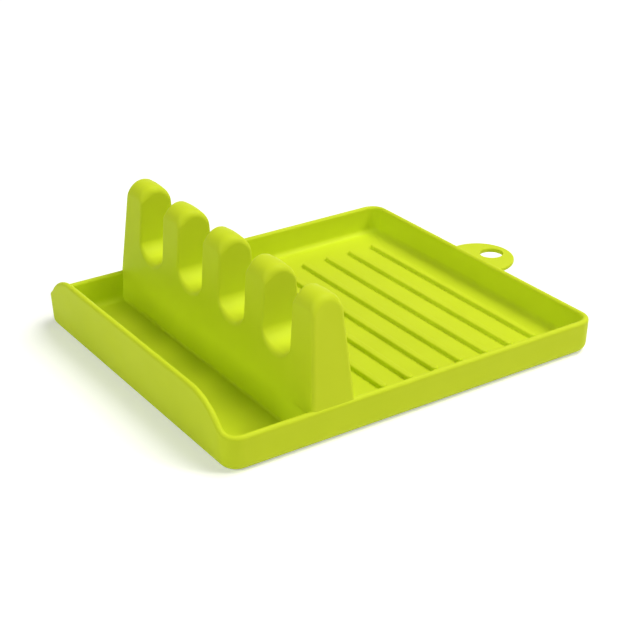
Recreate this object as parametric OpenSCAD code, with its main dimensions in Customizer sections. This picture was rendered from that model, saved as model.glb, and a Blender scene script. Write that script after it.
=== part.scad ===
// Spoon rest: a shallow drip tray with a raised front lip, a hollow comb whose
// notches hold utensil handles, drip ribs for the spoon heads and a hanging tab.
// Millimetres. The origin is the centre of the tray's underside, +X runs from
// the lip to the hanging tab, +Y along the comb and +Z up.

/* [Tray] */
// Length over the rim, from the lip side to the tab side
tray_l = 170; // [150:1:220]
// Width over the rim
tray_w = 150.5; // [140:0.5:200]
// Height of the rim above the table
rim_h = 14.5; // [11:0.5:22]
// Plan radius of the rim at the corners
corner_r = 7.5; // [6.5:0.25:14]
// Thickness of the wall
wall_t = 2.6; // [2:0.1:3.4]
// Outward lean of the wall from upright, in degrees
wall_lean = 2.5; // [0.5:0.5:5]
// Thickness of the floor
floor_t = 2.2; // [1.6:0.1:3.2]
// Radius of the outer bottom edge
edge_r = 3.75; // [1:0.25:4.5]
// Radius of the fillet where the floor meets the wall inside
root_r = 2.5; // [1:0.25:3]

/* [Front lip] */
// Rise of the lip above the rim
lip_rise = 11.3; // [6:0.1:18]
// Radius where the top of the lip turns down
lip_crown_r = 24; // [14:1:32]
// Radius where the lip runs out into the rim
lip_foot_r = 8; // [4:0.5:12]
// Distance from the tray's side to the end of the run-out
lip_end_gap = 1.7; // [0:0.1:8]

/* [Utensil comb] */
// Distance from the front of the rim to the foot of the comb
trough_w = 35; // [25:1:50]
// Thickness of the comb at its foot
comb_t = 18.7; // [16:0.1:26]
// Height of the finger tips above the table
comb_h = 56.2; // [50:0.1:75]
// Draft of the comb's front face, in degrees
front_draft = 5; // [2:0.25:6]
// Draft of the comb's back face, in degrees
back_draft = 3.25; // [1:0.25:5]
// Draft of the comb's two ends, in degrees
end_draft = 5.5; // [2:0.25:7]
// Step from the tray's side to the comb's end at its foot
comb_step = 1; // [0.4:0.1:1.8]
// Wall of the hollow comb
comb_wall = 2.8; // [1.8:0.1:3.6]
// Number of notches between the fingers
notch_count = 4; // [2:1:4]
// Spacing of the notches
notch_pitch = 32; // [24:0.5:34]
// Width of a notch at the middle of the comb's thickness
notch_w = 16.9; // [10:0.1:19]
// Taper of a notch's walls from the comb's front to its back, in degrees
notch_taper = 7.3; // [1:0.1:9]
// Height of the notch bottoms above the table, at the same place
notch_z = 28.2; // [22:0.1:38]
// Radius of the finger tips' corners, seen from the front
tip_r = 3; // [1.5:0.25:5]

/* [Drip ribs] */
// Number of ribs
rib_count = 7; // [3:1:8]
// Spacing of the ribs
rib_pitch = 12.5; // [8:0.1:13]
// Distance from the back of the rim to the first rib
rib_back_gap = 15.6; // [12:0.1:24]
// Distance from the tray's side to the ends of the ribs
rib_end_gap = 18.2; // [10:0.1:30]
// Width of a rib
rib_w = 3.6; // [2.8:0.1:5]
// Height of a rib above the floor
rib_h = 1.7; // [0.8:0.1:1.7]

/* [Hanging tab] */
// Radius of the tab's outline
tab_r = 15.2; // [12:0.1:20]
// How far the tab reaches beyond the rim
tab_reach = 16.3; // [13:0.1:22]
// Thickness of the tab
tab_t = 2; // [1.6:0.1:3]
// Depth of the tab's top below the rim
tab_drop = 0.8; // [0.5:0.1:3]
// Diameter of the hanging hole
hole_d = 10; // [5:0.1:12]
// Distance from the rim to the middle of the hole
hole_off = 8; // [7:0.1:10]

/* [Hidden] */
$fn = 96;

lime = "#c2d92e";
// Overshoot of a cutting shape past the face that it cuts
past = 2;
// Overlap of two shapes that are joined
lap = 0.5;
// How far a face that runs into a round is tucked into it
tuck = 0.002;

// Plan centres of the corner arcs
corner_x = tray_l / 2 - corner_r;
corner_y = tray_w / 2 - corner_r;

// The wall is a leaning plate with a full-round rim. Its section is drawn in u,
// outward from a corner's centre, and z.
rim_r = wall_t / 2;
rim_u = corner_r - rim_r;
seat_z = rim_h - rim_r;
function mid_u(z) = rim_u - (seat_z - z) * tan(wall_lean);
function out_u(z) = mid_u(z) + rim_r / cos(wall_lean);
function in_u(z) = mid_u(z) - rim_r / cos(wall_lean);

// The inner fillet is limited by the room beside the corner's centre
root_fit = min(root_r, in_u(floor_t) * 0.95);
edge_u = out_u(edge_r) - edge_r / cos(wall_lean);
root_u = in_u(floor_t + root_fit) - root_fit / cos(wall_lean);
root_foot = [root_u + root_fit * cos(wall_lean), floor_t + root_fit * (1 - sin(wall_lean))];

// The lip's outline: level top, crown, run-out into the rim
lip_z = rim_h + lip_rise;
lip_turn = acos(1 - lip_rise / (lip_crown_r + lip_foot_r));
lip_end = tray_w / 2 - lip_end_gap;
lip_flat = lip_end - (lip_crown_r + lip_foot_r) * sin(lip_turn);

// Faces of the comb, at the height of its foot on the rim
comb_front = -tray_l / 2 + trough_w;
comb_back = comb_front + comb_t;
comb_end = tray_w / 2 - comb_step;
function front_x(z) = comb_front + (z - seat_z) * tan(front_draft);
function back_x(z) = comb_back - (z - seat_z) * tan(back_draft);
function end_y(z) = comb_end - (z - seat_z) * tan(end_draft);

// The round along the finger tips touches the front face, the back face and
// the height of the comb
tip_slope = tan(front_draft) + tan(back_draft);
tip_spread = 1 / cos(front_draft) + 1 / cos(back_draft);
crest_r = (comb_t - tip_slope * (comb_h - seat_z)) / (tip_spread - tip_slope);
crest_z = comb_h - crest_r;
crest_x = front_x(crest_z) + crest_r / cos(front_draft);
// Flats in the round of a finger tip's edge
tip_steps = 8;

// A notch is a lying cone below upright walls. The walls stand a little inside
// the cone's sides, so that the two cross where they would only touch.
notch_mid_z = notch_z + notch_w / 2;
notch_cross = 0.05;
function notch_half(x) = notch_w / 2 + (crest_x - x) * tan(notch_taper);

rib_l = tray_w - 2 * rib_end_gap;
rib_r = (rib_w * rib_w / 4 + rib_h * rib_h) / (2 * rib_h);

tab_x = tray_l / 2 + tab_reach - tab_r;
tab_z = rim_h - tab_drop - tab_t;
hole_x = tray_l / 2 + hole_off;

// Section of the floor's edge and the wall
module wall_section() {
    lean = [rim_r * cos(wall_lean), -rim_r * sin(wall_lean)];
    rim_center = [rim_u, seat_z];
    edge_foot = [edge_u + edge_r * cos(wall_lean), edge_r * (1 - sin(wall_lean))];
    difference() {
        polygon([[0, 0], [edge_u, 0], edge_foot, rim_center + lean, rim_center - lean,
                 root_foot, [root_u, floor_t], [0, floor_t]]);
        translate([root_u, floor_t + root_fit]) circle(root_fit);
    }
    translate(rim_center) circle(rim_r);
    intersection() {
        translate([edge_u, edge_r]) circle(edge_r);
        polygon([[edge_u, 0], [out_u(0), 0], edge_foot, ([edge_u, 0] + edge_foot) / 2 + [-lap, lap]]);
    }
}

// Section of the lip's plate, from its seat on the wall to above the lip
module lip_section() {
    top_z = lip_z + past;
    polygon([[in_u(seat_z), seat_z], [out_u(seat_z), seat_z],
             [out_u(top_z), top_z], [in_u(top_z), top_z]]);
}

// A section drawn out straight on the +X side
module straight_run(length, offset) {
    translate([offset, 0, 0]) rotate([90, 0, 0])
        linear_extrude(length, center = true) children();
}

// A section turned from the +X side towards the +Y side
module corner_turn(angle) {
    translate([corner_x, corner_y, 0]) rotate_extrude(angle = angle) children();
}

module back_wall() {
    straight_run(2 * corner_y, corner_x) wall_section();
}

module left_wall() {
    rotate(90) straight_run(2 * corner_x, corner_y) wall_section();
}

module floor_slab() {
    translate([-corner_x, -corner_y, 0]) cube([2 * corner_x, 2 * corner_y, floor_t]);
}

// Space above the wall's seat for the lip, mitred at the corners
module lip_space() {
    near = in_u(seat_z) / 2;
    far = corner_r + past;
    translate([0, 0, seat_z]) linear_extrude(wall_t)
        polygon([for (p = [[near, -1], [near, 1], [far, 1], [far, -1]])
                 [-corner_x - p[0], p[1] * (corner_y + p[0])]]);
}

// Half of the lip's outline in y and z: level top, crown, run-out and rim
module lip_outline_half() {
    turn_y = lip_flat + lip_crown_r * sin(lip_turn);
    turn_z = lip_z - lip_crown_r * (1 - cos(lip_turn));
    difference() {
        polygon([[-lap, 0], [tray_w, 0], [tray_w, rim_h], [lip_end, rim_h],
                 [turn_y, turn_z], [lip_flat, lip_z], [-lap, lip_z]]);
        translate([lip_end, rim_h + lip_foot_r]) circle(lip_foot_r);
    }
    intersection() {
        translate([lip_flat, lip_z - lip_crown_r]) circle(lip_crown_r);
        polygon([[lip_flat, turn_z], [lip_flat, lip_z],
                 [lip_flat + lip_crown_r * tan(lip_turn / 2), lip_z], [turn_y, turn_z]]);
    }
}

// Section of the comb across its length, without its crest: drawn in by shrink,
// between two heights
module comb_band(shrink, bottom_z, top_z) {
    front_in = shrink / cos(front_draft);
    back_in = shrink / cos(back_draft);
    polygon([[front_x(bottom_z) + front_in, bottom_z], [back_x(bottom_z) - back_in, bottom_z],
             [back_x(top_z) - back_in, top_z], [front_x(top_z) + front_in, top_z]]);
}

// The same with the crest, which touches both faces
module comb_section(bottom_z) {
    front_touch = [-cos(front_draft), sin(front_draft)] * (crest_r - tuck);
    back_touch = [cos(back_draft), sin(back_draft)] * (crest_r - tuck);
    crest = [crest_x, crest_z];
    polygon([[front_x(bottom_z), bottom_z], [back_x(bottom_z), bottom_z],
             crest + back_touch, crest + front_touch]);
    translate(crest) circle(crest_r);
}

// Front outline of the comb's block in y and z: drawn in by shrink, between two
// heights
module comb_front_band(shrink, bottom_z, top_z) {
    end_in = shrink / cos(end_draft);
    polygon([[-end_y(bottom_z) + end_in, bottom_z], [end_y(bottom_z) - end_in, bottom_z],
             [end_y(top_z) - end_in, top_z], [-end_y(top_z) + end_in, top_z]]);
}

// Places the children at the middle of each notch
module at_notches() {
    for (i = [1:notch_count])
        translate([0, (i - (notch_count + 1) / 2) * notch_pitch, 0]) children();
}

// Edge of a finger tip, from a side that leans back by draft to above the finger,
// seen from the corner where that side meets the top. The round is drawn in short
// flats, and the last one runs on.
function tip_edge(draft) =
    let (center = [tip_r * tan(draft) - tip_r / cos(draft), -tip_r],
         turn = (90 - draft) / tip_steps,
         arc = [for (k = [0:tip_steps]) center + tip_r * [cos(draft + k * turn), sin(draft + k * turn)]],
         run_on = arc[tip_steps] + [-tip_r, tip_r * tan(turn / 2)])
    concat(arc, [run_on, [run_on[0], past]]);

// Front outline of the comb above the rim, without its notches
module comb_outline() {
    tip = [for (p = tip_edge(end_draft)) p + [end_y(comb_h), comb_h]];
    polygon(concat([[-end_y(seat_z), seat_z], [end_y(seat_z), seat_z]], tip,
                   [for (i = [len(tip) - 1:-1:0]) [-tip[i][0], tip[i][1]]]));
}

// Space beside a notch's wall and round the finger tip above it, seen from the
// corner where the wall meets the top
module notch_side() {
    depth = comb_h - notch_mid_z;
    polygon(concat(tip_edge(0), [[past, past], [past, -depth], [0, -depth]]));
}

// Space of a notch, which narrows from the comb's front to its back: a cone, the
// middle above it and the two sides
module notch_space() {
    near_x = comb_front - past;
    far_x = comb_back + past;
    translate([near_x, 0, notch_mid_z]) rotate([0, 90, 0])
        cylinder(far_x - near_x, notch_half(near_x), notch_half(far_x));
    translate([0, 0, notch_mid_z]) linear_extrude(comb_h)
        polygon([for (p = [[near_x, -1], [far_x, -1], [far_x, 1], [near_x, 1]])
                 [p[0], p[1] * (notch_half(p[0]) - lap)]]);
    for (side = [0, 1]) mirror([0, side, 0])
        translate([crest_x, notch_cross - notch_w / 2, comb_h]) rotate(notch_taper)
            rotate([90, 0, 90]) linear_extrude(2 * comb_t, center = true) notch_side();
}

// Half of the comb's end below the rim, which fills the tray up to its wall
module comb_foot_half() {
    translate([corner_y, 0]) {
        polygon([[-corner_y - lap, floor_t], [root_u, floor_t], root_foot,
                 [in_u(seat_z), seat_z], [in_u(seat_z), seat_z + lap], [-corner_y - lap, seat_z + lap]]);
        intersection() {
            translate([root_u, floor_t + root_fit]) circle(root_fit);
            polygon([[root_u, floor_t + root_fit], [root_u, floor_t], [in_u(floor_t), floor_t], root_foot]);
        }
    }
}

// Draws a section of the comb out along Y, past the tray's sides
module along_comb() {
    rotate([90, 0, 0]) linear_extrude(tray_w + past, center = true) children();
}

// Draws a front outline of the comb out along X, past its faces
module across_comb() {
    translate([comb_front - comb_t, 0, 0]) rotate([90, 0, 90])
        linear_extrude(3 * comb_t) children();
}

// Hollow of the comb, open through the flat of the floor below it, with a pocket
// in each finger
module comb_core() {
    floor_end = corner_y + root_u;
    // Half the gap between two pockets, from the notch's width at the comb's front
    gap_half = notch_half(front_x(notch_z)) + comb_wall;
    difference() {
        intersection() {
            along_comb() comb_band(comb_wall, -past, crest_z);
            across_comb() intersection() {
                comb_front_band(comb_wall, -2 * past, comb_h);
                translate([-floor_end, -2 * past]) square([2 * floor_end, comb_h + 2 * past]);
            }
        }
        at_notches() translate([comb_front - past, -gap_half, notch_mid_z - gap_half])
            cube([comb_t + 2 * past, 2 * gap_half, comb_h]);
    }
}

module drip_tray() color(lime) difference() {
    union() {
        floor_slab();
        for (side = [0, 180]) rotate(side) {
            back_wall();
            left_wall();
            corner_turn(90) wall_section();
            mirror([1, 0, 0]) corner_turn(90) wall_section();
        }
    }
    lip_space();
    along_comb() comb_band(0, seat_z, rim_h + past);
    comb_core();
}

module front_lip() color(lime) intersection() {
    mirror([1, 0, 0]) {
        straight_run(2 * corner_y, corner_x) lip_section();
        for (side = [0, 1]) mirror([0, side, 0]) corner_turn(45) lip_section();
    }
    translate([-tray_l, 0, 0]) rotate([90, 0, 90]) linear_extrude(tray_l)
        for (side = [0, 1]) mirror([side, 0]) lip_outline_half();
}

module utensil_comb() color(lime) difference() {
    intersection() {
        along_comb() comb_section(floor_t);
        across_comb() {
            comb_outline();
            for (side = [0, 1]) mirror([side, 0]) comb_foot_half();
        }
    }
    at_notches() notch_space();
    comb_core();
}

// Ribs are counted from the back wall towards the comb
module drip_rib(i) color(lime) {
    straight_l = rib_l - rib_w;
    translate([tray_l / 2 - rib_back_gap - (i - 1) * rib_pitch, 0, floor_t + rib_h - rib_r])
        difference() {
            union() {
                rotate([90, 0, 0]) cylinder(straight_l, r = rib_r, center = true);
                for (side = [-1, 1]) translate([0, side * straight_l / 2, 0]) sphere(rib_r);
            }
            translate([-rib_w, -rib_l, -2 * rib_w + rib_r - rib_h])
                cube([2 * rib_w, 2 * rib_l, 2 * rib_w]);
        }
}

// The tab's blank runs into the back wall, and the wall is cut out of it
module hang_tab() color(lime) difference() {
    intersection() {
        translate([tab_x, 0, tab_z]) cylinder(tab_t, r = tab_r);
        translate([corner_x + mid_u(tab_z), -tab_r - past, 0])
            cube([2 * tab_r + tab_reach, 2 * (tab_r + past), rim_h]);
    }
    translate([hole_x, 0, tab_z - past]) cylinder(tab_t + 2 * past, d = hole_d);
    back_wall();
}

drip_tray();
front_lip();
utensil_comb();
hang_tab();
for (i = [1:rib_count])
    drip_rib(i);
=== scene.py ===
"""Spoon rest, moulded in one shot of lime silicone rubber.

The tray with its raised lip, the utensil comb, the drip ribs and the hanging tab
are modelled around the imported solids, which give the main sizes. Shapes are drawn
in millimetres, and a finished piece is scaled to metres.
"""

import math

import bmesh
import bpy
from mathutils import Matrix, Vector


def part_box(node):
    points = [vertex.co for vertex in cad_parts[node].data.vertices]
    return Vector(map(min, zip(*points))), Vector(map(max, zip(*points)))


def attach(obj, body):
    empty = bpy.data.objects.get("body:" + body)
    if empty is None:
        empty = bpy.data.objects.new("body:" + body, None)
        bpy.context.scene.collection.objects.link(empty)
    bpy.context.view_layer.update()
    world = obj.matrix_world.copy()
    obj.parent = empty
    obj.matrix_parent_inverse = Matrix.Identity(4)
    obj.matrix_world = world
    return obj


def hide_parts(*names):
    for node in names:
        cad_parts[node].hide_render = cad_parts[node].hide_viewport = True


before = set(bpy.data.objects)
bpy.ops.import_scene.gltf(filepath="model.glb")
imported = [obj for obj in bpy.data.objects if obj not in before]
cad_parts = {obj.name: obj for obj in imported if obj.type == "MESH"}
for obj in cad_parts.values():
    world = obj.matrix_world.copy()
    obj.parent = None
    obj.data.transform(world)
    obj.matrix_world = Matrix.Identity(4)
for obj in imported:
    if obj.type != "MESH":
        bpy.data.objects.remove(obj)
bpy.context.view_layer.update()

MM = 0.001
UP = Vector((0, 0, 1))


def solid(name):
    """Lowest and highest corner of a solid, in millimetres."""
    low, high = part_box(name)
    return low / MM, high / MM


tray_high = solid("drip_tray")[1]
lip_high = solid("front_lip")[1]
comb_low, comb_high = solid("utensil_comb")
tab_low, tab_high = solid("hang_tab")
rib_names = sorted(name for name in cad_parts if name.startswith("drip_rib_"))
floor_z = solid(rib_names[0])[0].z

# Tray wall: a leaning plate with a full-round rim, a wide round at the underside
# and a fillet at the basin's floor
CORNER_R = 7.5
WALL_T = 2.6
WALL_LEAN = math.radians(2.5)
EDGE_R = 3.75
ROOT_R = 2.5
corner_x = tray_high.x - CORNER_R
corner_y = tray_high.y - CORNER_R
rim_z = tray_high.z
rim_r = WALL_T / 2
rim_u = CORNER_R - rim_r
seat_z = rim_z - rim_r

# Lip: level top, crown and foot, which runs out into the rim short of the tray's side
LIP_CROWN_R = 24
LIP_FOOT_R = 8
LIP_END_GAP = 1.7
lip_z = lip_high.z
lip_turn = math.acos(1 - (lip_z - rim_z) / (LIP_CROWN_R + LIP_FOOT_R))
lip_end = tray_high.y - LIP_END_GAP
lip_bend = lip_end - LIP_FOOT_R * math.sin(lip_turn)
lip_flat = lip_bend - LIP_CROWN_R * math.sin(lip_turn)

# Comb: two leaning faces that meet in a round crest, with U-shaped notches. Its ends
# lean too, and stand out past the solid at their foot
FRONT_DRAFT = math.radians(5)
BACK_DRAFT = math.radians(3.25)
END_DRAFT = math.radians(6.3)
END_FOOT_OUT = 0.6
NOTCH_COUNT = 4
NOTCH_PITCH = 32
NOTCH_R = 8.45
NOTCH_TAPER = math.radians(7.3)
NOTCH_MID_Z = 36.65
# A notch's floor is half an oval, and this is its depth as a share of half its width
NOTCH_FLAT = 0.65
COMB_WALL = 2.8
# End of the comb's hollow, which stays on the flat of the tray's floor
CORE_END = 69.3
CORE_END_DRAFT = math.radians(1.8)
# Fall of a finger's tip from its middle to its sides
TIP_DROP = 0.8
# Rounds along the comb's edges: beside the notches and below them, and at the
# comb's two ends, upright and over the crest
NOTCH_EDGE_R = 1.1
NOTCH_CHIN_R = 2.8
NOTCH_CREST_R = 3
END_EDGE_R = 1.6
END_CREST_R = 3
CORE_EDGE_R = 0.8
FOOT_R = 1.0
# Over the crest a notch's round is wider at the front and narrower at the back by
# this, and it is fully grown where the face's normal rises so far
NOTCH_CREST_TURN = 1
CREST_RISE = 0.8
notch_places = [(i - (NOTCH_COUNT - 1) / 2) * NOTCH_PITCH for i in range(NOTCH_COUNT)]
crest_slope = math.tan(FRONT_DRAFT) + math.tan(BACK_DRAFT)
crest_spread = 1 / math.cos(FRONT_DRAFT) + 1 / math.cos(BACK_DRAFT)


def crest_radius(height):
    """Radius of a crest that touches both faces of the comb and a height."""
    room = comb_high.x - comb_low.x - crest_slope * (height - floor_z)
    return room / (crest_spread - crest_slope)


def comb_face_x(z, side):
    """Place of the comb's front face (side -1) or back face (side 1) at a height."""
    if side < 0:
        return comb_low.x + (z - floor_z) * math.tan(FRONT_DRAFT)
    return comb_high.x - (z - floor_z) * math.tan(BACK_DRAFT)


crest_z = comb_high.z - crest_radius(comb_high.z)
crest_x = comb_face_x(crest_z, -1) + crest_radius(comb_high.z) / math.cos(FRONT_DRAFT)

# How deep a piece is let into the one that carries it. The foot of the comb's ends is
# let into the tray's side wall, of which this share stays outside
SINK = 0.3
SUNK_EDGE_R = 0.2
SUNK_COVER = 0.75
sunk_end = tray_high.y - SUNK_COVER * WALL_T

# Tab with its hole, and ribs with steep sides, round shoulders and a fillet at the foot
TAB_EDGE_R = 0.7
HOLE_R = 5
HOLE_EDGE_R = 0.5
HOLE_OUT = 8
hole_x = tray_high.x + HOLE_OUT
tab_r = tab_high.y
tab_x = tab_high.x - tab_r
RIB_DRAFT = math.radians(12)
RIB_EDGE_R = 0.8
RIB_FOOT_R = 0.3

# Steps on a fillet, on the wide round below the tray's wall, over a rim or crest, round
# a half circle, along the lip's run-out, up a notch wall and across a finger
FILLET_STEPS = 6
EDGE_STEPS = 8
CREST_STEPS = 14
HALF_TURN_STEPS = 24
LIP_STEPS = 24
WALL_STEPS = 4
FINGER_STEPS = 8
# Edges that turn further than this stay sharp, and points this near become one
SHARP_ANGLE = math.radians(38)
WELD = 0.002


def spread(start, end, steps):
    """Evenly spaced values from start to end, both included."""
    return [start + (end - start) * i / steps for i in range(steps + 1)]


def ease(share):
    """Smooth step from 0 to 1."""
    share = min(max(share, 0), 1)
    return share * share * (3 - 2 * share)


def arc(center, radius, start, end, steps):
    """Points on an arc in a plane, as pairs; the angles are in radians."""
    return [(center[0] + radius * math.cos(a), center[1] + radius * math.sin(a))
            for a in spread(start, end, steps)]


def loft(skin, rows, closed=False):
    """Joins each row of points to the next by quads; closed rows run back to their start."""
    lines = [[skin.verts.new(point) for point in row] for row in rows]
    for lower, upper in zip(lines, lines[1:]):
        rungs = list(zip(lower, upper))
        if closed:
            rungs.append(rungs[0])
        for (a, b), (c, d) in zip(rungs, rungs[1:]):
            skin.faces.new((a, c, d, b))


def close_flats(skin):
    """Fills the level outlines that are still open; an outline inside another stays a hole."""
    digits = 2
    outlines = {}
    for edge in skin.edges:
        if edge.is_boundary:
            outlines.setdefault(round(edge.verts[0].co.z, digits), []).append(edge)
    for edges in outlines.values():
        bmesh.ops.triangle_fill(skin, use_beauty=True, edges=edges)


def make_piece(name, skin, finish, *nodes):
    """Welds a skin into a closed piece of the object, which stands for the solids named."""
    bmesh.ops.remove_doubles(skin, verts=skin.verts, dist=WELD)
    close_flats(skin)
    bmesh.ops.recalc_face_normals(skin, faces=skin.faces)
    for edge in skin.edges:
        edge.smooth = edge.calc_face_angle(0) < SHARP_ANGLE
    bmesh.ops.scale(skin, vec=(MM, MM, MM), verts=skin.verts)
    mesh = bpy.data.meshes.new(name)
    skin.to_mesh(mesh)
    skin.free()
    mesh.polygons.foreach_set("use_smooth", [True] * len(mesh.polygons))
    mesh.materials.append(finish)
    piece = bpy.data.objects.new(name, mesh)
    bpy.context.scene.collection.objects.link(piece)
    shading = piece.modifiers.new("level_faces", "WEIGHTED_NORMAL")
    shading.mode = "FACE_AREA"
    shading.keep_sharp = True
    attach(piece, "root")
    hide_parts(*nodes)


# Tray with its lip

def wall_u(z):
    """Middle of the wall, measured outward from a corner's centre."""
    return rim_u - (seat_z - z) * math.tan(WALL_LEAN)


def rim_height(y):
    """Height of the rim on the lip's side, along the lip's outline."""
    run = abs(y)
    if run < lip_flat:
        return lip_z
    if run < lip_bend:
        return lip_z - LIP_CROWN_R + math.sqrt(LIP_CROWN_R ** 2 - (run - lip_flat) ** 2)
    if run < lip_end:
        return rim_z + LIP_FOOT_R - math.sqrt(LIP_FOOT_R ** 2 - (lip_end - run) ** 2)
    return rim_z


def wall_section(top, round_h):
    """The wall's section in u and z, from the underside over the rim to the basin's floor.

    The round of the rim is round_h high.
    """
    # Short flats beside the rounds, which keep the shading of the faces even
    lead = 0.3
    band = 1
    band_z = seat_z - band
    half_wall = rim_r / math.cos(WALL_LEAN)
    edge_u = wall_u(EDGE_R) + half_wall - EDGE_R / math.cos(WALL_LEAN)
    root_z = floor_z + ROOT_R
    root_u = wall_u(root_z) - half_wall - ROOT_R / math.cos(WALL_LEAN)
    middle_z = top - round_h
    points = [(edge_u - lead, 0)]
    points += arc((edge_u, EDGE_R), EDGE_R, -math.pi / 2, -WALL_LEAN, EDGE_STEPS)
    points.append((wall_u(band_z) + half_wall, band_z))
    for turn in spread(-WALL_LEAN, math.pi - WALL_LEAN, CREST_STEPS):
        points.append((wall_u(middle_z) + rim_r * math.cos(turn), middle_z + round_h * math.sin(turn)))
    points.append((wall_u(band_z) - half_wall, band_z))
    points += arc((root_u, root_z), ROOT_R, -WALL_LEAN, -math.pi / 2, FILLET_STEPS)
    points.append((root_u - lead, floor_z))
    return points


def comb_end_y(z):
    """Place of the comb's ends at a height; their foot nearly meets the wall's outer face."""
    return comb_high.y + END_FOOT_OUT - (z - seat_z) * math.tan(END_DRAFT)


def tray_stations():
    """Walks round the tray: point on the corners' centre line, outward angle."""
    lip_run = spread(lip_flat, corner_y, LIP_STEPS)
    lip_run = lip_run[-2::-1] + [-y for y in lip_run[:-1]]
    corners = [(1, 1), (-1, 1), (-1, -1), (1, -1)]
    stations = []
    for quarter, (side_x, side_y) in enumerate(corners):
        start = quarter * math.pi / 2
        for angle in spread(start, start + math.pi / 2, HALF_TURN_STEPS // 2):
            stations.append((Vector((side_x * corner_x, side_y * corner_y, 0)), angle))
        if quarter == 1:
            stations += [(Vector((-corner_x, y, 0)), start + math.pi / 2) for y in lip_run]
    return stations


def tray_row(point, angle):
    """The wall's section at a station; on the lip's side it is as high as the lip."""
    out = Vector((math.cos(angle), math.sin(angle), 0))
    top = rim_z
    round_h = rim_r
    if point.x < 0:
        y = point.y + rim_u * out.y
        probe = 0.05
        slope = (rim_height(y + probe) - rim_height(y - probe)) / (2 * probe) * out.x
        top = rim_height(y)
        round_h = rim_r * math.sqrt(1 + slope * slope)
    return [point + out * u + UP * z for u, z in wall_section(top, round_h)]


def slot_outline(z):
    """Opening below the hollow comb, a little inside the comb's own walls."""
    inside = 0.05
    low_x = comb_face_x(floor_z, -1) + COMB_WALL / math.cos(FRONT_DRAFT) + inside
    high_x = comb_face_x(floor_z, 1) - COMB_WALL / math.cos(BACK_DRAFT) - inside
    end = core_end(floor_z) - inside
    middles = [(high_x, end), (low_x, end), (low_x, -end), (high_x, -end)]
    outline = []
    for quarter, (x, y) in enumerate(middles):
        center = (x - math.copysign(CORE_EDGE_R, x - crest_x), y - math.copysign(CORE_EDGE_R, y))
        start = quarter * math.pi / 2
        outline += arc(center, CORE_EDGE_R, start, start + math.pi / 2, FILLET_STEPS)
    return [Vector((x, y, z)) for x, y in outline]


def make_tray(finish):
    """Floor, wall, rim and lip, open below the comb."""
    skin = bmesh.new()
    rows = [tray_row(*station) for station in tray_stations()]
    loft(skin, rows + rows[:1])
    loft(skin, [slot_outline(0), slot_outline(floor_z)], closed=True)
    make_piece("moulded_tray", skin, finish, "drip_tray", "front_lip")


# Utensil comb

def core_end(z):
    """Place of the ends of the comb's hollow at a height."""
    return CORE_END - (z - floor_z) * math.tan(CORE_END_DRAFT)


def rounded_edge(point, normal, facing, radius):
    """Points over the round of an edge, from the face with one normal to that with the other."""
    center = point - radius * (normal + facing) / (1 + normal.dot(facing))
    return [center + radius * normal.slerp(facing, share) for share in spread(0, 1, FILLET_STEPS)]


class Finger:
    """Where a finger of the comb stands, and the low dome of its tip."""

    def __init__(self, low_y, high_y):
        half = (high_y - low_y) / 2
        self.middle = (low_y + high_y) / 2
        self.tip_r = (half * half + TIP_DROP * TIP_DROP) / (2 * TIP_DROP)

    def height(self, y):
        """Height of the tip at a place along the comb."""
        return comb_high.z - self.tip_r + math.sqrt(self.tip_r ** 2 - (y - self.middle) ** 2)

    def slope(self, y):
        """Slope of the tip there."""
        return (self.middle - y) / math.sqrt(self.tip_r ** 2 - (y - self.middle) ** 2)


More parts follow.
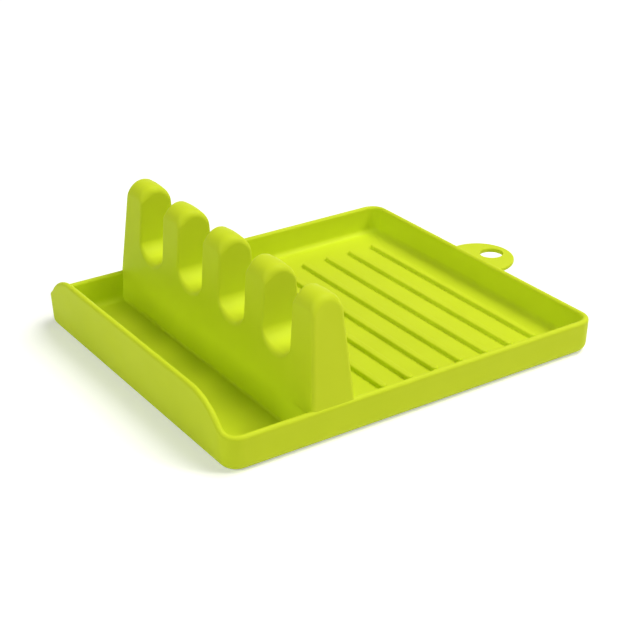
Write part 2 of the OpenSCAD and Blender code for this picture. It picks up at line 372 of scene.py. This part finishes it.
class CombSkin:
    """The comb's outer surface (inset 0), or the surface of its hollow at the wall's depth."""

    # Rows of a finger's face, upward: round the notch, up its wall and over the crest
    ROWS = ([("bowl", share) for share in spread(0, 1, HALF_TURN_STEPS // 2)]
            + [("wall", share) for share in spread(0, 1, WALL_STEPS)[1:-1]]
            + [("crest", share) for share in spread(0, 1, CREST_STEPS)])
    COLUMNS = spread(0, 1, FINGER_STEPS)[1:-1]
    # The face leans and the notch tapers, so that a point settles in a few rounds
    SETTLE = 6

    def __init__(self, inset):
        self.inset = inset

    def face_x(self, z, side):
        """A face's place at a height, drawn in by the inset."""
        draft = FRONT_DRAFT if side < 0 else BACK_DRAFT
        return comb_face_x(z, side) - side * self.inset / math.cos(draft)

    def face_normal(self, side):
        """Normal of the front face (side -1) or the back face (side 1)."""
        draft = FRONT_DRAFT if side < 0 else BACK_DRAFT
        return Vector((side * math.cos(draft), 0, math.sin(draft)))

    def notch_half(self, x):
        """Half the width of a notch, which narrows from the comb's front to its back."""
        return NOTCH_R + (crest_x - x) * math.tan(NOTCH_TAPER) + self.inset / math.cos(NOTCH_TAPER)

    def bowl_z(self, x, turn):
        """Height of a notch's floor, a flat half oval, at an angle from its lowest line."""
        return NOTCH_MID_Z - self.notch_half(x) * (1 - NOTCH_FLAT * (1 - math.cos(turn)))

    def end_y(self, z):
        """Place of the comb's end at a height."""
        return core_end(z) if self.inset else comb_end_y(z)

    def foot(self, side):
        """Rows of a face below the notches, upward from the floor: x, z, normal, in the wall or not.

        The last two rows are at one height, where the ends step out of the tray's wall.
        """
        normal = self.face_normal(side)
        sunk_z = floor_z - SINK
        if self.inset:
            return [(self.face_x(sunk_z, side), sunk_z, normal, False)]
        corner = Vector((self.face_x(floor_z, side), 0, floor_z))
        fillet = rounded_edge(corner, UP, normal, -FOOT_R)
        rows = [(fillet[0].x, sunk_z, Vector((side, 0, 0)), True)]
        for point, share in zip(fillet, spread(0, 1, FILLET_STEPS)):
            rows.append((point.x, point.z, UP.slerp(normal, share), True))
        ledge_z = seat_z - SINK
        rows += [(self.face_x(ledge_z, side), ledge_z, normal, sunk) for sunk in (True, False)]
        return rows

    def finger_point(self, side, part, share, y, finger):
        """Point and normal on a finger's face or crest."""
        normal = self.face_normal(side)
        draft = math.asin(normal.z)
        radius = crest_radius(finger.height(y))
        middle = Vector((0, y, finger.height(y) - radius))
        middle.x = comb_face_x(middle.z, -1) + radius / math.cos(FRONT_DRAFT)
        radius -= self.inset
        if part == "wall":
            touch_z = middle.z + radius * math.sin(draft)
            z = NOTCH_MID_Z + share * (touch_z - NOTCH_MID_Z)
            return Vector((self.face_x(z, side), y, z)), normal
        turn = draft + share * (math.pi / 2 - draft)
        facing = Vector((side * math.cos(turn), 0, math.sin(turn)))
        # As the tip falls, the crest's middle moves down and its radius grows
        grow = crest_slope / (crest_spread - crest_slope)
        shift = Vector(((1 + grow) * math.tan(FRONT_DRAFT) - grow / math.cos(FRONT_DRAFT), 0, 1 + grow))
        lean = finger.slope(y) * (shift.dot(facing) - grow)
        return middle + radius * facing, Vector((facing.x, -lean, facing.z)).normalized()

    def notch_edge(self, side, notch_y, hand, finger):
        """Rounded edge between a face and one wall of a notch, row by row."""
        normal = self.face_normal(side)
        rows = []
        for part, share in self.ROWS:
            radius = NOTCH_EDGE_R
            turn = math.pi / 2
            y = notch_y + hand * NOTCH_R
            z = NOTCH_MID_Z
            for _ in range(self.SETTLE):
                if part == "bowl":
                    turn = share * math.pi / 2
                    radius = NOTCH_CHIN_R + (NOTCH_EDGE_R - NOTCH_CHIN_R) * ease(share)
                    x = self.face_x(z, side)
                    y = notch_y + hand * self.notch_half(x) * math.sin(turn)
                    z = self.bowl_z(x, turn)
                    point = Vector((x, y, z))
                else:
                    point, normal = self.finger_point(side, part, share, y, finger)
                    y = notch_y + hand * self.notch_half(point.x)
            crest_r = NOTCH_CREST_R - NOTCH_CREST_TURN * normal.x
            radius += (crest_r - NOTCH_EDGE_R) * ease(normal.z / CREST_RISE)
            rise = math.cos(turn) / NOTCH_FLAT
            slant = math.tan(NOTCH_TAPER) * (1 + rise - math.cos(turn))
            wall = Vector((-slant, -hand * math.sin(turn), rise)).normalized()
            rows.append(rounded_edge(point, normal, wall, CORE_EDGE_R if self.inset else radius))
        return rows

    def end_edge(self, side, hand, finger):
        """Rounded edge between a face and one end of the comb, from the floor to the crest."""
        end_wall = Vector((0, hand * math.cos(END_DRAFT), math.sin(END_DRAFT)))
        sunk_wall = Vector((0, hand, 0))
        rows = []
        for x, z, normal, sunk in self.foot(side):
            y = sunk_end if sunk else self.end_y(z)
            radius = CORE_EDGE_R if self.inset else SUNK_EDGE_R if sunk else END_EDGE_R
            corner = Vector((x, hand * y, z))
            rows.append(rounded_edge(corner, normal, sunk_wall if sunk else end_wall, radius))
        # Rows beside the outer notch are as high as the notch's own, so that the face stays flat
        beside = self.notch_edge(side, hand * notch_places[-1], hand, finger)
        for (part, share), notch_row in zip(self.ROWS, beside):
            if part == "bowl":
                z = notch_row[0].z
                point = Vector((self.face_x(z, side), hand * self.end_y(z), z))
                normal = self.face_normal(side)
            else:
                point = Vector((0, hand * self.end_y(crest_z), crest_z))
                for _ in range(self.SETTLE):
                    y = hand * self.end_y(point.z)
                    point, normal = self.finger_point(side, part, share, y, finger)
            radius = END_EDGE_R + (END_CREST_R - END_EDGE_R) * ease(normal.z / CREST_RISE)
            rows.append(rounded_edge(point, normal, end_wall, CORE_EDGE_R if self.inset else radius))
        return rows

    def build(self, skin):
        """Adds fingers, notch walls and ends to a skin."""
        end = comb_end_y(crest_z)
        starts = [-end] + [y + NOTCH_R for y in notch_places]
        stops = [y - NOTCH_R for y in notch_places] + [end]
        sides = (-1, 1)
        for i, finger in enumerate(map(Finger, starts, stops)):
            borders = []
            for hand in (-1, 1):
                outermost = i == (0 if hand < 0 else NOTCH_COUNT)
                if outermost:
                    edges = [self.end_edge(side, hand, finger) for side in sides]
                    walls = edges
                else:
                    notch_y = notch_places[i - 1 if hand < 0 else i]
                    walls = [self.notch_edge(side, notch_y, -hand, finger) for side in sides]
                    edges = [[[Vector((x, notch_y, z))] for x, z, _, _ in self.foot(side)] + wall
                             for side, wall in zip(sides, walls)]
                loft(skin, [front + back[::-1] for front, back in zip(*walls)])
                borders.append(edges)
            rows = [self.face_rows(side, finger, left, right)
                    for side, left, right in zip(sides, *borders)]
            loft(skin, rows[0] + rows[1][::-1])

    def face_rows(self, side, finger, left, right):
        """Rows across a finger's face, between the edges on its two sides."""
        parts = [("foot", 0)] * len(self.foot(side)) + self.ROWS
        rows = []
        for (part, share), a, b in zip(parts, left, right):
            row = [a[0].lerp(b[0], column) for column in self.COLUMNS]
            if part in ("wall", "crest"):
                row = [self.finger_point(side, part, share, point.y, finger)[0] for point in row]
            rows.append([a[0]] + row + [b[0]])
        return rows


def make_comb(finish):
    """Five hollow fingers on one foot, open below."""
    skin = bmesh.new()
    CombSkin(0).build(skin)
    CombSkin(COMB_WALL).build(skin)
    bmesh.ops.remove_doubles(skin, verts=skin.verts, dist=WELD)
    # The foot of the outer surface and that of the hollow are joined by a level face
    bmesh.ops.bridge_loops(skin, edges=[edge for edge in skin.edges if edge.is_boundary])
    make_piece("moulded_comb", skin, finish, "utensil_comb")


# Drip ribs and hanging tab

def make_rib(name, finish):
    """A steep rib with round shoulders and ends, which runs into the floor in a small fillet."""
    low, high = solid(name)
    middle_x = (low.x + high.x) / 2
    half_w = (high.x - low.x) / 2
    end_y = high.y - half_w
    side = Vector((math.cos(RIB_DRAFT), 0, math.sin(RIB_DRAFT)))
    foot = Vector((half_w, 0, floor_z))
    shoulder = Vector((half_w - (high.z - floor_z) * math.tan(RIB_DRAFT), 0, high.z))
    section = rounded_edge(foot, UP, side, -RIB_FOOT_R) + rounded_edge(shoulder, side, UP, RIB_EDGE_R)
    section = [section[0] - UP * SINK] + section + [UP * high.z]
    skin = bmesh.new()
    rows = []
    for point in section:
        row = []
        for hand in (1, -1):
            start = 0 if hand > 0 else math.pi
            outline = arc((middle_x, hand * end_y), point.x, start, start + math.pi, HALF_TURN_STEPS // 2)
            row += [Vector((x, y, point.z)) for x, y in outline]
        rows.append(row)
    loft(skin, rows, closed=True)
    make_piece(name.replace("drip", "moulded"), skin, finish, name)


def make_tab(finish):
    """Flat round tab with soft edges and a hole to hang it by, let into the back wall."""
    low_z = tab_low.z
    high_z = tab_high.z
    quarter = math.pi / 2
    root_x = corner_x + wall_u(low_z)
    edge_u = tab_r - TAB_EDGE_R
    bore_u = HOLE_R + HOLE_EDGE_R
    rim = arc((edge_u, low_z + TAB_EDGE_R), TAB_EDGE_R, -quarter, 0, FILLET_STEPS)
    rim += arc((edge_u, high_z - TAB_EDGE_R), TAB_EDGE_R, 0, quarter, FILLET_STEPS)
    bore = arc((bore_u, low_z + HOLE_EDGE_R), HOLE_EDGE_R, -quarter, -2 * quarter, FILLET_STEPS)
    bore += arc((bore_u, high_z - HOLE_EDGE_R), HOLE_EDGE_R, 2 * quarter, quarter, FILLET_STEPS)
    skin = bmesh.new()
    rows = []
    for radius, z in rim:
        open_angle = math.acos((root_x - tab_x) / radius)
        outline = arc((tab_x, 0), radius, -open_angle, open_angle, 2 * HALF_TURN_STEPS)
        rows.append([Vector((x, y, z)) for x, y in outline])
    loft(skin, rows, closed=True)
    rows = []
    for radius, z in bore:
        outline = arc((hole_x, 0), radius, 0, 2 * math.pi, 2 * HALF_TURN_STEPS)
        rows.append([Vector((x, y, z)) for x, y in outline[:-1]])
    loft(skin, rows, closed=True)
    make_piece("moulded_tab", skin, finish, "hang_tab")


# Finishes

def linear(hex_color):
    """A linear colour with alpha from an sRGB hex value."""
    parts = [int(hex_color[i:i + 2], 16) / 255 for i in (1, 3, 5)]
    return [c / 12.92 if c <= 0.04045 else ((c + 0.055) / 1.055) ** 2.4 for c in parts] + [1]


def add_node(tree, kind, settings=None, links=None):
    """Adds a node, sets its sockets and properties by name, and links sources to its sockets.

    Sockets that share a name are given by number.
    """
    node = tree.nodes.new(kind)
    for name, value in (settings or {}).items():
        if name in node.inputs:
            node.inputs[name].default_value = value
        else:
            setattr(node, name, value)
    for name, source in (links or {}).items():
        tree.links.new(source, node.inputs[name])
    return node


def new_material(name):
    """An empty node material and its tree."""
    material = bpy.data.materials.new(name)
    material.use_nodes = True
    material.node_tree.nodes.clear()
    return material, material.node_tree


def noise_scale(size):
    """Noise scale whose blotches are about as wide as a size in millimetres."""
    return 1 / (size * MM)


def satin_silicone():
    """Pigmented silicone rubber from a finely blasted mould.

    It gives the eye a saturated, even lime with a soft satin sheen, a trace of
    cloudiness in the pigment and a fine skin-like grain, and thin edges glow a little.
    """
    cloud_size = 34
    sheen_size = 9
    flow_size = 14
    # The blasted grain is about 0.1 mm wide, and is drawn coarser so that it shows
    grain_size = 0.7
    flow_depth = 0.03 * MM
    grain_depth = 0.015 * MM
    glow_depth = 0.8 * MM
    material, tree = new_material("satin_silicone_lime")
    place = add_node(tree, "ShaderNodeTexCoord").outputs["Object"]
    cloud = add_node(tree, "ShaderNodeTexNoise",
                     {"Scale": noise_scale(cloud_size), "Detail": 3, "Roughness": 0.6}, {"Vector": place})
    pigment = add_node(tree, "ShaderNodeValToRGB", links={"Fac": cloud.outputs["Fac"]})
    pigment.color_ramp.elements[0].position = 0.3
    pigment.color_ramp.elements[0].color = linear("#D5E529")
    pigment.color_ramp.elements[1].position = 0.7
    pigment.color_ramp.elements[1].color = linear("#DAE92F")
    sheen = add_node(tree, "ShaderNodeTexNoise",
                     {"Scale": noise_scale(sheen_size), "Detail": 4}, {"Vector": place})
    gloss = add_node(tree, "ShaderNodeMapRange", {"To Min": 0.48, "To Max": 0.58},
                     {"Value": sheen.outputs["Fac"]})
    flow = add_node(tree, "ShaderNodeTexNoise", {"Scale": noise_scale(flow_size), "Detail": 1},
                    {"Vector": place})
    waves = add_node(tree, "ShaderNodeBump", {"Strength": 0.5, "Distance": flow_depth},
                     {"Height": flow.outputs["Fac"]})
    grain = add_node(tree, "ShaderNodeTexNoise", {"Scale": noise_scale(grain_size), "Detail": 2},
                     {"Vector": place})
    skin = add_node(tree, "ShaderNodeBump", {"Strength": 0.5, "Distance": grain_depth},
                    {"Height": grain.outputs["Fac"], "Normal": waves.outputs["Normal"]})
    shader = add_node(tree, "ShaderNodeBsdfPrincipled",
                      {"IOR": 1.41, "Specular IOR Level": 0.15, "Subsurface Weight": 0.06,
                       "Subsurface Radius": (1, 0.9, 0.2), "Subsurface Scale": glow_depth},
                      {"Base Color": pigment.outputs["Color"], "Roughness": gloss.outputs["Result"],
                       "Normal": skin.outputs["Normal"]})
    add_node(tree, "ShaderNodeOutputMaterial", links={"Surface": shader.outputs["BSDF"]})
    return material


def seen_directly(tree):
    """1 where the camera, a reflection or a clear piece looks, 0 for light that is passed on."""
    path = add_node(tree, "ShaderNodeLightPath")
    seen = path.outputs["Is Camera Ray"]
    for kind in ("Is Glossy Ray", "Is Transmission Ray"):
        either = add_node(tree, "ShaderNodeMath", {"operation": "MAXIMUM"},
                          {0: seen, 1: path.outputs[kind]})
        seen = either.outputs["Value"]
    return seen


def matt_white_paper():
    """White background paper: matt, and lifted to pure white where it is seen unshaded."""
    lift = 0.37
    material, tree = new_material("matt_white_paper")
    glow = add_node(tree, "ShaderNodeMapRange", {"To Min": 0, "To Max": lift},
                    {"Value": seen_directly(tree)})
    shader = add_node(tree, "ShaderNodeBsdfPrincipled",
                      {"Base Color": linear("#F3F3F3"), "Roughness": 0.9, "Specular IOR Level": 0,
                       "Emission Color": linear("#FFFFFF")},
                      {"Emission Strength": glow.outputs["Result"]})
    add_node(tree, "ShaderNodeOutputMaterial", links={"Surface": shader.outputs["BSDF"]})
    return material


# Stage, light and camera

def make_floor():
    """Sheet of paper below the object; it ends where it would look grey beside the white."""
    half = 1.4
    # A hair below the underside, so that the two faces don't show through each other
    low = -0.1 * MM
    corners = [(-half, -half, low), (half, -half, low), (half, half, low), (-half, half, low)]
    mesh = bpy.data.meshes.new("paper_floor")
    mesh.from_pydata(corners, [], [range(len(corners))])
    mesh.materials.append(matt_white_paper())
    floor = bpy.data.objects.new("paper_floor", mesh)
    bpy.context.scene.collection.objects.link(floor)


def make_lamp(name, azimuth, elevation, size, energy, tint):
    """A square softbox that faces the object.

    The angles are in degrees, from +X and from the floor, and the size is in metres.
    """
    distance = 2.4
    lamp = bpy.data.lights.new(name, "AREA")
    lamp.size = size
    lamp.energy = energy
    lamp.color = linear(tint)[:3]
    softbox = bpy.data.objects.new(name, lamp)
    aim = Vector((math.cos(math.radians(azimuth)), math.sin(math.radians(azimuth)), 0))
    aim = aim * math.cos(math.radians(elevation)) + UP * math.sin(math.radians(elevation))
    softbox.location = aim * distance
    softbox.rotation_euler = aim.to_track_quat("Z", "Y").to_euler()
    bpy.context.scene.collection.objects.link(softbox)


def make_light():
    """A wide key light high behind the tab, a small lower one, a fill at the lip and dim surroundings."""
    fill = 0.02
    world = bpy.data.worlds.new("white_studio")
    bpy.context.scene.world = world
    world.use_nodes = True
    tree = world.node_tree
    tree.nodes.clear()
    level = add_node(tree, "ShaderNodeMapRange", {"To Min": fill, "To Max": 1},
                     {"Value": seen_directly(tree)})
    sky = add_node(tree, "ShaderNodeBackground", {"Color": linear("#FFFFFF")},
                   {"Strength": level.outputs["Result"]})
    add_node(tree, "ShaderNodeOutputWorld", links={"Surface": sky.outputs["Background"]})
    make_lamp("key_light", azimuth=-20, elevation=67, size=1.4, energy=43.5, tint="#FFFDF8")
    make_lamp("side_light", azimuth=-45, elevation=38, size=0.5, energy=12.5, tint="#FFFDF8")
    make_lamp("fill_light", azimuth=190, elevation=30, size=1, energy=19, tint="#F8FFF0")


def make_camera():
    """Camera at the photograph's viewing angle."""
    azimuth = math.radians(-33.35)
    elevation = math.radians(26.163)
    roll = math.radians(-0.589)
    place = Vector((2.272, 6.156, 610.106)) * MM
    turn = (Matrix.Rotation(azimuth, 3, "Z") @ Matrix.Rotation(math.pi / 2 - elevation, 3, "X")
            @ Matrix.Rotation(roll, 3, "Z"))
    lens = bpy.data.cameras.new("camera")
    lens.sensor_width = 36
    lens.lens = 83.378
    lens.clip_start = 0.05
    camera = bpy.data.objects.new("camera", lens)
    camera.matrix_world = Matrix.Translation(turn @ place) @ turn.to_4x4()
    bpy.context.scene.collection.objects.link(camera)
    bpy.context.scene.camera = camera


silicone = satin_silicone()
make_tray(silicone)
make_comb(silicone)
make_tab(silicone)
for rib_name in rib_names:
    make_rib(rib_name, silicone)
make_floor()
make_light()
make_camera()
bpy.context.scene.view_settings.view_transform = "Standard"
